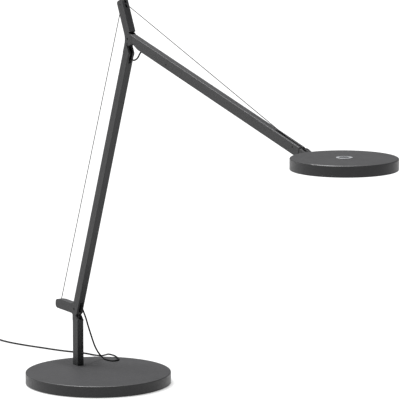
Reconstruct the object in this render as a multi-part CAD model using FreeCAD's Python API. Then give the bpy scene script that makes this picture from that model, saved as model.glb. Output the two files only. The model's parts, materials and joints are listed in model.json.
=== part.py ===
import FreeCAD, Part
import math
import os

# Balanced-arm desk lamp: a round base, a short stem with a rear lever, two
# straight arms of rectangular tube, a raked mast at the elbow, one tension
# wire in two stretches, and a flat round LED head.
# Millimetres. +Z up, the arms stand in the XZ plane and reach towards +X.
# The origin is on the desk, under the middle of the stem.

V = FreeCAD.Vector

# ---- base ----
BASE_DIAMETER = 240.0
BASE_HEIGHT = 19.0
BASE_AHEAD = 63.0            # centre of the disc, ahead of the stem
COVER_WALL = 1.5
COVER_EDGE = 1.5             # rounding of the rims of the base and of the head
PAD_THICKNESS = 2.0
PAD_INSET = 2.5
WEIGHT_THICKNESS = 14.0
BASE_GAP = 0.4               # between the cover and the weight
BASE_SCREW_CIRCLE = 190.0
BASE_SCREW_COUNT = 3
BASE_BOSS_DIAMETER = 12.0

# ---- swivel under the stem ----
SPINDLE_DIAMETER = 8.0
SWIVEL_CLEARANCE = 0.05
BUSH_WALL = 1.4
BUSH_FLANGE = 0.8
NUT_WIDTH = 13.0
NUT_HEIGHT = 6.5
WASHER_THICKNESS = 1.6
WASHER_DIAMETER = 17.0
NUT_POCKET = 22.0

# ---- the tube that the stem and both arms are made of ----
TUBE_WIDTH = 11.5            # across the plane of the arms
TUBE_DEPTH = 16.5            # in the plane of the arms
TUBE_WALL = 1.2
TUBE_EDGE = 0.9
PLUG_FIT = 0.05              # end pieces in the bore of a tube, each side

# ---- hinges ----
PIVOT_X = -3.5               # lower pivot, in the frame of the stem
PIVOT_Z = 113.3
SETBACK = 2.5                # pivots lie behind the middle line of the tubes
UPPER_RISE = 1.5             # middle line of the upper arm above its pivot
SLOT_WIDTH = 5.0             # between the two cheeks of a hinge
TONGUE_WIDTH = 3.6
DISC_THICKNESS = 0.6         # friction disc on each side of a tongue
DISC_DIAMETER = 12.0
TONGUE_RADIUS = 6.2
PIN_DIAMETER = 4.0
PIN_CLEARANCE = 0.05
PIN_RECESS = 0.3
CHEEK_RADIUS = 10.75         # rounded cheeks about the pivot
JOINT_GAP = 0.45             # from the rounded cheeks to the moving tube
STEM_RELIEF = 17.0           # pivot to the full depth of the stem, in front
ELBOW_RELIEF = 20.5          # pivot to the full depth of the lower arm, in front

# ---- lengths and angles of the arms ----
LOWER_ARM_LENGTH = 495.5     # pivot to pivot
LOWER_ARM_LEAN = 19.9        # degrees forward of upright
MAST_LEAN = 24.5             # degrees back from upright
MAST_LENGTH = 65.0           # elbow pivot to the top of the mast
MAST_WALL = 1.6
MAST_WAIST = 8.6             # elbow pivot to the full depth of the mast
MAST_WAIST_FRONT = 4.6       # what is left ahead of the pivot at the waist
MAST_BEND = 22.0             # radius of the bend at the back of the elbow
ELBOW_WINDOW = 19.0          # open front of the elbow below the pivot
ELBOW_FOOT = 26.0            # elbow pivot to the end of the lower tube
CABLE_SLOT_END = 38.5        # elbow pivot to the end of the cable slot
CABLE_SLOT_WIDTH = 4.4
UPPER_ARM_DROOP = 15.2       # degrees below level
UPPER_ARM_REACH = 502.4      # elbow pivot to head pivot
HEAD_EARS = 14.0             # end of the upper tube to the head pivot
UPPER_NOSE_LOW = 1.5         # where the rounded end turns into the sloped underside
UPPER_NOSE_TAPER = 34.0      # where the slope reaches the underside
UPPER_SLOT_LENGTH = 12.0     # cable slot in the underside after the slope
LOWER_WINDOW = 17.0          # open front of the lower arm above its pivot
UPPER_PLUG = 14.0            # length of the tongue's plug in the upper tube
WIRE_SLOT_BACK = 54.4        # slot in the top of the upper tube, behind the arm roller
WIRE_SLOT_WIDTH = 3.4

# ---- rear lever of the stem ----
LEVER_TIP = 59.0             # behind the lower pivot
LEVER_DEPTH = 16.2
LEVER_TILT = 2.0
LEVER_NOSE = 6.0
STEM_TOP = 94.0              # end of the stem tube
STEM_SPIGOT = 22.0
STEM_SCREW = 3.0
STEM_SCREW_LENGTH = 6.0
STEM_SCREW_RECESS = 0.3
STEM_SCREW_Z = 83.0
STEM_WINDOW = 16.0           # open front of the stem head below the pivot

# ---- tension wire, its anchor and rollers ----
WIRE_DIAMETER = 1.2
WIRE_GAP = 0.06              # wire to the root of a groove
ANCHOR_BACK = 51.6           # from the lower pivot
ANCHOR_UP = 2.0
ANCHOR_DIAMETER = 6.0
MAST_ROLLER_DIAMETER = 9.0
MAST_ROLLER_ALONG = 57.2
MAST_ROLLER_AHEAD = 3.3
ARM_ROLLER_DIAMETER = 7.8
ARM_ROLLER_BACK = 30.0       # from the head pivot
ARM_ROLLER_UP = 4.2
GROOVE_DEPTH = 0.8
ROLLER_WIDTH = 3.6
ROLLER_PIN = 2.5
ROLLER_CLEARANCE = 0.05

# ---- balance spring in the upper arm ----
SPRING_START = 120.0
SPRING_LENGTH = 118.0
SPRING_CURLS = 26
SPRING_MEAN_DIAMETER = 6.0
SPRING_WIRE = 1.0
SPRING_CAP_LENGTH = 7.0
SPRING_CAP_DIAMETER = 7.2

# ---- head ----
HEAD_DIAMETER = 160.0
HEAD_HEIGHT = 17.3
HEAD_CENTRE = 95.1           # ahead of the head pivot
HEAD_WALL = 1.5
NECK_RADIUS = 6.6
NECK_DEPTH = 10.0
NECK_FOOT = 14.0
NECK_SLOT_GAP = 0.15
FORK_PLUG = 10.0
BEZEL_WIDTH = 5.0
BEZEL_HEIGHT = 2.4
DIFFUSER_THICKNESS = 2.0
SPREADER_THICKNESS = 2.0
BOARD_THICKNESS = 1.6
CHIP_COUNT = 24
CHIP_SIZE = 3.0
CHIP_HEIGHT = 0.7
CHIP_CIRCLE = 104.0
DRIVER_DIAMETER = 46.0
TOUCH_OUTER = 25.0
TOUCH_INNER = 16.0
TOUCH_RISE = 0.9
TOUCH_SEAT = 0.8
TOUCH_STEM = 5.0             # under the cap, through the shell
SEAT_FIT = 0.05              # round pieces in their seats, each side

# ---- cables ----
LEAD_DIAMETER = 2.6          # lead inside the arms and in the loop at the elbow
HEAD_LEAD_DIAMETER = 2.0
LEAD_GAP = 0.35              # from the lead to the wall it lies along
CORD_DIAMETER = 2.8          # supply cord
CORD_LOOPS = 10
CORD_LAYERS = 2
LOOP_SPACE = 0.6             # between neighbouring loops of the coil
COIL_INNER_RADIUS = 9.0
COIL_CENTRE = (-372.0, 12.0)
COIL_LIFT = 1.1              # the tie passes under the coil
TIE_WIDTH = 6.0
TIE_THICKNESS = 0.8
TIE_GAP = 0.3
ADAPTOR = (46.0, 34.0, 26.0)
ADAPTOR_EDGE = 3.0
ADAPTOR_CENTRE = (-372.0, -46.0)
BOOT_LENGTH = 9.0
BOOT_HEIGHT = 8.0            # middle line of the cord where it enters the adaptor
BOOT_DIAMETERS = (4.4, 7.0)
PRONG = (17.0, 1.6, 6.3)
PRONG_SPACING = 12.7

# Route of the supply cord, chosen by hand: out of the lower arm, and down to the base.
CORD_NECK = [
    (12.08, 0.0, 133.19),
    (9.1, 0.0, 124.9),
    (12.6, 0.8, 115.5),
    (12.3, 3.6, 109.5),
]
CORD_DROP = [
    (12.3, 3.6, 109.5),
    (11.9, 7.3, 101.6),
    (5.2, 16.5, 83.5),
    (-4.5, 28.5, 64.0),
    (-14.5, 41.0, 44.0),
    (-18.5, 51.5, 29.0),
    (-11.5, 57.5, 20.6),
    (-3.0, 57.6, 20.55),
]
CORD_RUN = [
    (-3.0, 57.6, 20.55),
    (5.5, 57.7, 20.5),
    (13.0, 63.5, 20.5),
    (8.5, 75.5, 20.5),
    (-5.0, 80.5, 20.5),
    (-20.0, 84.8, 20.9),
    (-43.0, 86.5, 20.0),
    (-69.0, 96.5, 12.5),
    (-96.0, 104.5, 5.2),
    (-122.0, 108.5, 1.6),
    (-150.0, 103.5, 1.4),
    (-187.0, 81.0, 1.4),
    (-226.0, 67.0, 1.4),
    (-264.0, 52.5, 1.4),
    (-303.0, 41.5, 1.4),
    (-335.0, 38.6, 2.0),
]
CORD_TAIL = [
    (-390.0, 37.3, 5.2),
    (-404.0, 30.0, 2.2),
    (-411.0, 15.0, 1.4),
    (-414.5, -2.0, 1.4),
    (-417.0, -19.0, 1.4),
    (-420.0, -35.0, 3.0),
    (-414.0, -46.0, 8.0),
]

LOWER_PIVOT = V(PIVOT_X, 0, PIVOT_Z)
UPPER_TUBE_END = UPPER_ARM_REACH - HEAD_EARS
ARM_ROLLER_ALONG = UPPER_ARM_REACH - ARM_ROLLER_BACK
LOWER_SLOPE = 90.0 - LOWER_ARM_LEAN
MAST_SLOPE = 90.0 + MAST_LEAN


# ---------------------------------------------------------------- helpers

def direction(slope):
    """Unit vector in the XZ plane, slope degrees above +X."""
    return V(math.cos(math.radians(slope)), 0, math.sin(math.radians(slope)))


def across(slope):
    """Unit vector a quarter turn on from direction(slope)."""
    return V(-math.sin(math.radians(slope)), 0, math.cos(math.radians(slope)))


ELBOW = LOWER_PIVOT + direction(LOWER_SLOPE) * LOWER_ARM_LENGTH


def along_lower(s, n):
    return LOWER_PIVOT + direction(LOWER_SLOPE) * s + across(LOWER_SLOPE) * n


def along_mast(s, n):
    return ELBOW + direction(MAST_SLOPE) * s + across(MAST_SLOPE) * n


def along_upper(s, n):
    return ELBOW + direction(-UPPER_ARM_DROOP) * s + across(-UPPER_ARM_DROOP) * n


HEAD_PIVOT = along_upper(UPPER_ARM_REACH, UPPER_RISE)
HEAD_MIDDLE = HEAD_PIVOT + V(HEAD_CENTRE, 0, 0)


def placed(shape, origin, slope):
    """Turn a shape from its own X axis to the slope, and move it to origin."""
    turned = shape.copy()
    turned.rotate(V(0, 0, 0), V(0, 1, 0), -slope)
    turned.translate(origin)
    return turned


def block(x0, x1, width, z0, z1, y=0.0):
    return Part.makeBox(x1 - x0, width, z1 - z0, V(x0, y - width / 2, z0))


def rod(diameter, length, centre, axis=V(0, 1, 0)):
    """Round bar, its middle at centre."""
    unit = V(axis).normalize()
    return Part.makeCylinder(diameter / 2, length, centre - unit * (length / 2), unit)


def plate(points, width, y=0.0):
    """Flat plate with a polygon outline given as (x, z) points."""
    corners = [V(x, y - width / 2, z) for x, z in points]
    wire = Part.makePolygon(corners + [corners[0]])
    return Part.Face(wire).extrude(V(0, width, 0))


def edges_along(shape, axis, least):
    """Straight edges parallel to an axis and longer than least."""
    found = []
    for edge in shape.Edges:
        run = edge.Vertexes[-1].Point - edge.Vertexes[0].Point
        if edge.Length > least and abs(abs(run.dot(axis)) - edge.Length) < 1e-6:
            found.append(edge)
    return found


def one_solid(shape):
    """The one solid of a boolean result, with seams removed."""
    clean = shape.removeSplitter()
    return clean.Solids[0] if len(clean.Solids) == 1 else clean


def tube(x0, x1, middle):
    """Rectangular tube along X, its middle line at height middle."""
    half = TUBE_DEPTH / 2
    outer = block(x0, x1, TUBE_WIDTH, middle - half, middle + half)
    outer = outer.makeFillet(TUBE_EDGE, edges_along(outer, V(1, 0, 0), (x1 - x0) / 2))
    return outer.cut(bore(x0 - 1, x1 + 1, middle, 0.0))


def bore(x0, x1, middle, inset):
    """Inside of the tube, drawn in by inset."""
    half = TUBE_DEPTH / 2 - TUBE_WALL - inset
    return block(x0, x1, TUBE_WIDTH - 2 * (TUBE_WALL + inset), middle - half, middle + half)


def hinge_discs(centre):
    """The two friction discs beside a tongue."""
    gap = TONGUE_WIDTH / 2 + DISC_THICKNESS / 2 + 0.04
    hole = PIN_DIAMETER + 2 * PIN_CLEARANCE
    discs = []
    for side in (-1, 1):
        middle = centre + V(0, side * gap, 0)
        disc = rod(DISC_DIAMETER, DISC_THICKNESS, middle)
        discs.append(disc.cut(rod(hole, 4 * DISC_THICKNESS, middle)))
    return Part.makeCompound(discs)


def hinge_pin(centre):
    return rod(PIN_DIAMETER, TUBE_WIDTH - 2 * PIN_RECESS, centre)


def pin_hole(centre, clearance):
    return rod(PIN_DIAMETER + 2 * clearance, TUBE_WIDTH + 4, centre)


def arc_middle(start, corner, end):
    """Middle of the arc that leaves start and meets end towards corner."""
    chord = (start + end) * 0.5
    half = math.acos(min(1.0, (end - start).Length / 2 / (corner - start).Length))
    share = math.cos(half) / (1 + math.cos(half))
    return chord + (corner - chord) * share


def route_wire(points, name):
    """Straight runs joined by tangent arcs; prints the arcs' radii."""
    radii = []
    edges = []
    last = points[0]
    for before, here, after in zip(points, points[1:], points[2:]):
        run_in = here - before
        run_out = after - here
        turn = run_in.getAngle(run_out)
        trim = 0.45 * min(run_in.Length, run_out.Length)
        radii.append(trim / math.tan(turn / 2))
        start = here - run_in.normalize() * trim
        end = here + run_out.normalize() * trim
        edges.append(Part.LineSegment(last, start).toShape())
        edges.append(Part.Arc(start, arc_middle(start, here, end), end).toShape())
        last = end
    edges.append(Part.LineSegment(last, points[-1]).toShape())
    print(name, "arc radii", " ".join("%.1f" % r for r in radii))
    return Part.Wire(edges)


def swept(wire, diameter, name):
    """Round tube along a wire, its volume compared with section times length."""
    start = wire.Edges[0].valueAt(wire.Edges[0].FirstParameter)
    heading = wire.Edges[0].tangentAt(wire.Edges[0].FirstParameter)
    section = Part.Wire(Part.makeCircle(diameter / 2, start, heading))
    solid = wire.makePipeShell([section], True, False)
    if solid.Volume < 0:
        solid.reverse()
    ideal = math.pi * diameter ** 2 / 4 * wire.Length
    print(name, "length %.1f" % wire.Length, "volume ratio %.4f" % (solid.Volume / ideal))
    return solid


def biarc(p0, t0, p1, t1):
    """Two tangent arcs from p0 heading t0 to p1 heading t1."""
    chord = p1 - p0
    bend = 2 * (1 - t0.dot(t1))
    reach = chord.dot(t0 + t1)
    if bend < 1e-9:
        step = chord.dot(chord) / (4 * chord.dot(t1))
    else:
        step = (-reach + math.sqrt(reach ** 2 + bend * chord.dot(chord))) / bend
    joint = (p0 + p1 + (t0 - t1) * step) * 0.5
    first = Part.Arc(p0, arc_middle(p0, p0 + t0 * step, joint), joint)
    second = Part.Arc(joint, arc_middle(joint, p1 - t1 * step, p1), p1)
    return [first.toShape(), second.toShape()]


def wound_wire(stations, lead_in, lead_out):
    """Wire through (point, heading) stations, with a straight run at each end."""
    first, last = stations[0], stations[-1]
    edges = [Part.LineSegment(first[0] - first[1] * lead_in, first[0]).toShape()]
    for here, after in zip(stations, stations[1:]):
        edges += biarc(here[0], here[1], after[0], after[1])
    edges.append(Part.LineSegment(last[0], last[0] + last[1] * lead_out).toShape())
    return Part.Wire(edges)


def least_self_gap(curve, turns, diameter, name):
    """Print the least gap between parts of a winding over half a turn apart."""
    steps = 48
    points = [curve(i / steps) for i in range(int(turns * steps) + 1)]
    least = min((a - b).Length for i, a in enumerate(points) for b in points[i + steps // 2:])
    print(name, "least gap to itself %.2f" % (least - diameter))


def stations_on(curve, turns, per_turn):
    """Points and headings on a curve that is a function of turns."""
    found = []
    small = 1e-4
    for i in range(int(round(turns * per_turn)) + 1):
        at = i / per_turn
        heading = (curve(at + small) - curve(at - small)).normalize()
        found.append((curve(at), heading))
    return found


# ------------------------------------------------------------------- base

def base_screw_places():
    radius = BASE_SCREW_CIRCLE / 2
    for i in range(BASE_SCREW_COUNT):
        angle = math.radians(60 + 360 * i / BASE_SCREW_COUNT)
        yield BASE_AHEAD + radius * math.cos(angle), radius * math.sin(angle)


PAD_TOP = PAD_THICKNESS
WEIGHT_BOTTOM = PAD_TOP
WEIGHT_TOP = WEIGHT_BOTTOM + WEIGHT_THICKNESS
COVER_UNDER = BASE_HEIGHT - COVER_WALL
BUSH_OUTER = SPINDLE_DIAMETER + 2 * SWIVEL_CLEARANCE + 2 * BUSH_WALL
STEM_FOOT = BASE_HEIGHT + BUSH_FLANGE
BASE_SCREW_DIAMETER = 4.0
BASE_SCREW_HEAD = 8.0
BASE_SCREW_REACH = 3.0


def rounded_disc(diameter, z0, z1, x, edge):
    """Upright disc with its upper rim rounded."""
    disc = Part.makeCylinder(diameter / 2, z1 - z0, V(x, 0, z0))
    rims = [e for e in disc.Edges if e.BoundBox.ZMin > z1 - 1e-6]
    return disc.makeFillet(edge, rims)


def base_cover():
    outer = rounded_disc(BASE_DIAMETER, PAD_TOP / 2, BASE_HEIGHT, BASE_AHEAD, COVER_EDGE)
    inner = Part.makeCylinder(BASE_DIAMETER / 2 - COVER_WALL, COVER_UNDER, V(BASE_AHEAD, 0, 0))
    shell = outer.cut(inner)
    for x, y in base_screw_places():
        boss = Part.makeCylinder(BASE_BOSS_DIAMETER / 2, BASE_SCREW_REACH + COVER_UNDER - WEIGHT_TOP,
                                 V(x, y, WEIGHT_TOP - BASE_SCREW_REACH))
        shell = shell.fuse(boss)
        shell = shell.cut(Part.makeCylinder(BASE_SCREW_DIAMETER / 2, COVER_UNDER - 1, V(x, y, 0)))
    hole = Part.makeCylinder(BUSH_OUTER / 2, 2 * BASE_HEIGHT, V(0, 0, 0))
    return one_solid(shell.cut(hole))


def base_weight():
    disc = Part.makeCylinder(BASE_DIAMETER / 2 - COVER_WALL - BASE_GAP, WEIGHT_THICKNESS,
                             V(BASE_AHEAD, 0, WEIGHT_BOTTOM))
    disc = disc.cut(Part.makeCylinder(BUSH_OUTER / 2, 2 * BASE_HEIGHT, V(0, 0, 0)))
    pocket = NUT_HEIGHT + WASHER_THICKNESS + 0.9
    disc = disc.cut(Part.makeCylinder(NUT_POCKET / 2, pocket, V(0, 0, WEIGHT_BOTTOM)))
    for x, y in base_screw_places():
        well = Part.makeCylinder(BASE_BOSS_DIAMETER / 2 + BASE_GAP, BASE_SCREW_REACH + 0.2,
                                 V(x, y, WEIGHT_TOP - BASE_SCREW_REACH - 0.2))
        shaft = Part.makeCylinder(BASE_SCREW_DIAMETER / 2 + BASE_GAP, WEIGHT_TOP, V(x, y, 0))
        head = Part.makeCylinder(BASE_SCREW_HEAD / 2 + BASE_GAP, BASE_SCREW_DIAMETER,
                                 V(x, y, WEIGHT_BOTTOM))
        disc = disc.cut(well.fuse(shaft).fuse(head))
    return one_solid(disc)


def base_pad():
    return Part.makeCylinder(BASE_DIAMETER / 2 - PAD_INSET, PAD_THICKNESS, V(BASE_AHEAD, 0, 0))


def base_screws():
    screws = []
    head = BASE_SCREW_DIAMETER - 0.2
    for x, y in base_screw_places():
        cap = Part.makeCylinder(BASE_SCREW_HEAD / 2, head, V(x, y, WEIGHT_BOTTOM + 0.2))
        shank = Part.makeCylinder(BASE_SCREW_DIAMETER / 2 - 0.01, COVER_UNDER - 2 - WEIGHT_BOTTOM,
                                  V(x, y, WEIGHT_BOTTOM + 0.5))
        socket = Part.makeCylinder(1.4, 2.0, V(x, y, WEIGHT_BOTTOM + 0.2))
        screws.append(one_solid(cap.fuse(shank).cut(socket)))
    return Part.makeCompound(screws)


def swivel_bush():
    bore_radius = SPINDLE_DIAMETER / 2 + SWIVEL_CLEARANCE
    bottom = WEIGHT_BOTTOM + NUT_HEIGHT + WASHER_THICKNESS + 0.9
    body = Part.makeCylinder(BUSH_OUTER / 2 - SEAT_FIT, BASE_HEIGHT - bottom, V(0, 0, bottom))
    flange = Part.makeCylinder(TUBE_WIDTH / 2, BUSH_FLANGE, V(0, 0, BASE_HEIGHT))
    hole = Part.makeCylinder(bore_radius, 2 * BASE_HEIGHT, V(0, 0, 0))
    return one_solid(body.fuse(flange).cut(hole))


def swivel_spindle():
    """Block in the foot of the stem tube, with the threaded spindle below it."""
    half = TUBE_WALL + PLUG_FIT
    foot = block(-TUBE_DEPTH / 2 + half, TUBE_DEPTH / 2 - half, TUBE_WIDTH - 2 * half,
                 STEM_FOOT, STEM_FOOT + 20)
    shaft = Part.makeCylinder(SPINDLE_DIAMETER / 2, STEM_FOOT + 1 - PAD_TOP - 1.0, V(0, 0, PAD_TOP + 1.0))
    return one_solid(foot.fuse(shaft))


NUT_BOTTOM = WEIGHT_BOTTOM + 1.3


def swivel_nut():
    corners = []
    for i in range(7):
        angle = math.radians(60 * i)
        radius = NUT_WIDTH / 2 / math.cos(math.radians(30))
        corners.append(V(radius * math.cos(angle), radius * math.sin(angle), NUT_BOTTOM))
    body = Part.Face(Part.makePolygon(corners)).extrude(V(0, 0, NUT_HEIGHT - 0.6))
    return body.cut(Part.makeCylinder(SPINDLE_DIAMETER / 2 + 0.01, 2 * BASE_HEIGHT, V(0, 0, 0)))


def swivel_washer():
    disc = Part.makeCylinder(WASHER_DIAMETER / 2, WASHER_THICKNESS, V(0, 0, NUT_BOTTOM + NUT_HEIGHT - 0.55))
    return disc.cut(Part.makeCylinder(SPINDLE_DIAMETER / 2 + 0.2, 2 * BASE_HEIGHT, V(0, 0, 0)))


# ------------------------------------------------------------------- stem

TUBE_START = CHEEK_RADIUS + JOINT_GAP


def relieved(length, relief, front, rear):
    """Side view of a post below a pivot: its front slopes in under the cheeks."""
    run = relief + front
    reach = (run - math.sqrt(run ** 2 - 2 * (relief ** 2 + front ** 2 - CHEEK_RADIUS ** 2))) / 2 + 0.5
    points = [(-length, -front), (-relief, -front), (-relief + reach, -front + reach),
              (0, -front + reach), (0, rear), (-length, rear)]
    return plate(points, TUBE_WIDTH)


def stem_screw_hole():
    length = 2 * (STEM_SCREW_LENGTH + STEM_SCREW_RECESS) + 0.4
    return rod(STEM_SCREW + 0.02, length, V(-TUBE_DEPTH / 2, 0, STEM_SCREW_Z), V(1, 0, 0))


def stem_tube():
    upright = placed(tube(STEM_FOOT, STEM_TOP, 0.0), V(0, 0, 0), 90)
    return upright.cut(stem_screw_hole())


def lever_outline():
    """Side view of the lever from the lower pivot back to its tip."""
    half = LEVER_DEPTH / 2
    tip = LEVER_TIP
    nose = LEVER_NOSE
    points = [(0, -half), (tip - nose, -half)]
    for i in range(1, 5):
        angle = math.radians(-90 + 22.5 * i)
        points.append((tip - nose + nose * math.cos(angle), -half + nose + nose * math.sin(angle)))
    for i in range(1, 5):
        angle = math.radians(22.5 * i)
        points.append((tip - nose + nose * math.cos(angle), half - 1.2 - nose + nose * math.sin(angle)))
    points += [(tip - 17, half), (0, half)]
    return [(-x, z) for x, z in points]


def wire_anchor_place():
    return LOWER_PIVOT + V(-ANCHOR_BACK, 0, ANCHOR_UP)


def stem_head():
    """Casting on top of the stem: spigot, two cheeks and the rear lever."""
    half = TUBE_DEPTH / 2
    cheeks = rod(2 * CHEEK_RADIUS, TUBE_WIDTH, LOWER_PIVOT)
    lever = plate(lever_outline(), TUBE_WIDTH)
    lever.rotate(V(0, 0, 0), V(0, 1, 0), LEVER_TILT)
    lever.translate(LOWER_PIVOT)
    post = relieved(PIVOT_Z - STEM_TOP, STEM_RELIEF, half - PIVOT_X, half + PIVOT_X)
    post = placed(post, LOWER_PIVOT, 90)
    inset = TUBE_WALL + PLUG_FIT
    spigot = block(-half + inset, half - inset, TUBE_WIDTH - 2 * inset, STEM_TOP - STEM_SPIGOT, STEM_TOP)
    body = cheeks.fuse(lever).fuse(post).fuse(spigot)
    back = PIVOT_X - CHEEK_RADIUS - JOINT_GAP
    slot = block(back, half + 20, SLOT_WIDTH, PIVOT_Z - CHEEK_RADIUS - JOINT_GAP, PIVOT_Z + 30)
    window = block(half - 6, half + 5, SLOT_WIDTH, PIVOT_Z - STEM_WINDOW, PIVOT_Z)
    anchor = wire_anchor_place()
    cross = rod(ANCHOR_DIAMETER + 0.2, TUBE_WIDTH - 3, anchor)
    throat = placed(block(0, 30, 2.6, -1.6, 1.6), anchor, wire_slope_back())
    body = body.cut(slot).cut(window).cut(cross).cut(throat).cut(pin_hole(LOWER_PIVOT, 0.0))
    return one_solid(body.cut(stem_screw_hole()))


def stem_screw():
    """Set screw at the back that holds the head in the stem tube."""
    start = -TUBE_DEPTH / 2 + STEM_SCREW_RECESS
    body = rod(STEM_SCREW, STEM_SCREW_LENGTH, V(start + STEM_SCREW_LENGTH / 2, 0, STEM_SCREW_Z), V(1, 0, 0))
    socket = rod(1.3, 3.0, V(start, 0, STEM_SCREW_Z), V(1, 0, 0))
    return body.cut(socket)


# ------------------------------------------------------------ lower arm

def round_end():
    """What is cut off a tube so that it clears the round cheeks of its hinge."""
    behind = block(-TUBE_DEPTH, 0, TUBE_WIDTH + 2, -2 * TUBE_DEPTH, 2 * TUBE_DEPTH)
    return rod(2 * TUBE_START, TUBE_WIDTH + 2, V(0, 0, 0)).fuse(behind)


def lower_arm_tube():
    end = LOWER_ARM_LENGTH - ELBOW_FOOT
    body = tube(0, end, -SETBACK).cut(round_end())
    front = -SETBACK - TUBE_DEPTH / 2
    body = body.cut(block(0, LOWER_WINDOW, SLOT_WIDTH, front - 1, front + TUBE_WALL + 1))
    slot_start = LOWER_ARM_LENGTH - CABLE_SLOT_END
    body = body.cut(block(slot_start, end + 1, CABLE_SLOT_WIDTH, front - 1, front + TUBE_WALL + 1))
    return placed(one_solid(body), LOWER_PIVOT, LOWER_SLOPE)


def tongue(start_bore, middle, plug_length, clearance):
    """End piece in an arm's tube with a tongue that rides on the hinge pin."""
    plug = bore(start_bore + 0.3, start_bore + plug_length, middle, PLUG_FIT)
    link_top = min(TONGUE_RADIUS, middle + TUBE_DEPTH / 2 - TUBE_WALL - PLUG_FIT)
    link = block(0, start_bore + 1, TONGUE_WIDTH, -TONGUE_RADIUS, link_top)
    eye = rod(2 * TONGUE_RADIUS, TONGUE_WIDTH, V(0, 0, 0))
    hole = rod(PIN_DIAMETER + 2 * clearance, TUBE_WIDTH, V(0, 0, 0))
    return plug.fuse(link).fuse(eye).cut(hole)


def lower_tongue():
    body = tongue(TUBE_START, -SETBACK, 24.0, PIN_CLEARANCE)
    channel = block(TUBE_START - 1, TUBE_START + 30, 3.2, -SETBACK - TUBE_DEPTH / 2, -TONGUE_RADIUS + 1.2)
    return placed(one_solid(body.cut(channel)), LOWER_PIVOT, LOWER_SLOPE)


def elbow_head():
    """Casting at the elbow: spigot, two cheeks and the raked mast."""
    half = TUBE_DEPTH / 2
    front = SETBACK + half
    rear = half - SETBACK
    foot = placed(relieved(ELBOW_FOOT, ELBOW_RELIEF, front, rear), ELBOW, LOWER_SLOPE)
    mast = block(MAST_WAIST, MAST_LENGTH, TUBE_WIDTH, -front, rear)
    top_edges = [e for e in edges_along(mast, V(0, 1, 0), 1) if e.BoundBox.XMin > MAST_LENGTH - 1]
    mast = mast.makeFillet(4.0, top_edges).fuse(block(0, MAST_WAIST, TUBE_WIDTH, -MAST_WAIST_FRONT, rear))
    body = foot.fuse(placed(mast, ELBOW, MAST_SLOPE))
    bend_centre = ELBOW + direction((LOWER_SLOPE + MAST_SLOPE) / 2 + 90) * (
        (MAST_BEND + rear) / math.cos(math.radians((MAST_SLOPE - LOWER_SLOPE) / 2)))
    leg = (MAST_BEND + rear) * math.tan(math.radians((MAST_SLOPE - LOWER_SLOPE) / 2))
    corners = [ELBOW, ELBOW + direction(LOWER_SLOPE) * -leg, along_lower(LOWER_ARM_LENGTH - leg, rear),
               along_mast(leg, rear), ELBOW + direction(MAST_SLOPE) * leg]
    filler = plate([(p.x, p.z) for p in corners], TUBE_WIDTH).cut(rod(2 * MAST_BEND, TUBE_WIDTH + 2, bend_centre))
    disc = rod(2 * CHEEK_RADIUS, TUBE_WIDTH, ELBOW)
    ahead = placed(block(0, 40, TUBE_WIDTH + 2, -40, 40), ELBOW, (LOWER_SLOPE + MAST_SLOPE) / 2 - 90)
    body = body.fuse(filler).fuse(disc.common(ahead)).fuse(rod(2 * rear, TUBE_WIDTH, ELBOW))
    body = body.fuse(placed(bore(-ELBOW_FOOT - 16, -ELBOW_FOOT + 1, -SETBACK, PLUG_FIT), ELBOW, LOWER_SLOPE))
    eye = rod(2 * (TONGUE_RADIUS + JOINT_GAP), SLOT_WIDTH, ELBOW)
    low = placed(block(-ELBOW_WINDOW, 1, SLOT_WIDTH, -front - 5, 0), ELBOW, LOWER_SLOPE)
    high = placed(block(-1, MAST_WAIST, SLOT_WIDTH, -front - 5, 0), ELBOW, MAST_SLOPE)
    fan = rod(2 * CHEEK_RADIUS, SLOT_WIDTH, ELBOW).common(ahead)
    duct = placed(block(-ELBOW_FOOT - 20, -ELBOW_WINDOW + 1, CABLE_SLOT_WIDTH, -front - 1, -front + 6.5),
                  ELBOW, LOWER_SLOPE)
    inside = placed(block(MAST_WAIST + 5, MAST_LENGTH - MAST_WALL, SLOT_WIDTH, -front + MAST_WALL,
                          rear - MAST_WALL), ELBOW, MAST_SLOPE)
    wire_exit = placed(block(MAST_ROLLER_ALONG - 8, MAST_LENGTH - MAST_WALL - 1.0, 3.0, -front - 1, -front + 4),
                       ELBOW, MAST_SLOPE)
    wire_entry = placed(block(MAST_ROLLER_ALONG - 18, MAST_LENGTH - MAST_WALL - 3.0, 2.6, rear - 4, rear + 1),
                        ELBOW, MAST_SLOPE)
    for void in (eye, low, high, fan, duct, inside, wire_exit, wire_entry):
        body = body.cut(void)
    body = body.cut(pin_hole(ELBOW, 0.0))
    body = body.cut(rod(ROLLER_PIN, TUBE_WIDTH + 4, mast_roller_place()))
    return one_solid(body)


def mast_roller_place():
    return along_mast(MAST_ROLLER_ALONG, -MAST_ROLLER_AHEAD)


def roller(centre, diameter):
    """Grooved wheel for the wire."""
    wheel = rod(diameter, ROLLER_WIDTH, centre)
    groove = rod(diameter + 1, WIRE_DIAMETER + 0.3, centre).cut(
        rod(diameter - 2 * GROOVE_DEPTH, WIRE_DIAMETER + 1, centre))
    wheel = wheel.cut(groove)
    return one_solid(wheel.cut(rod(ROLLER_PIN + 2 * ROLLER_CLEARANCE, ROLLER_WIDTH + 2, centre)))


def roller_pin(centre):
    return rod(ROLLER_PIN, TUBE_WIDTH - 2 * PIN_RECESS, centre)


def arm_roller_place():
    return along_upper(ARM_ROLLER_ALONG, ARM_ROLLER_UP)


def wire_radius(diameter):
    return diameter / 2 - GROOVE_DEPTH + WIRE_GAP + WIRE_DIAMETER / 2


def tangent_point(centre, radius, far, side):
    """Where a line from far touches a circle in the XZ plane."""
    gap = far - centre
    reach = gap.Length
    turn = math.acos(radius / reach) * side
    facing = math.atan2(gap.z, gap.x)
    return centre + V(math.cos(facing + turn), 0, math.sin(facing + turn)) * radius


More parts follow.
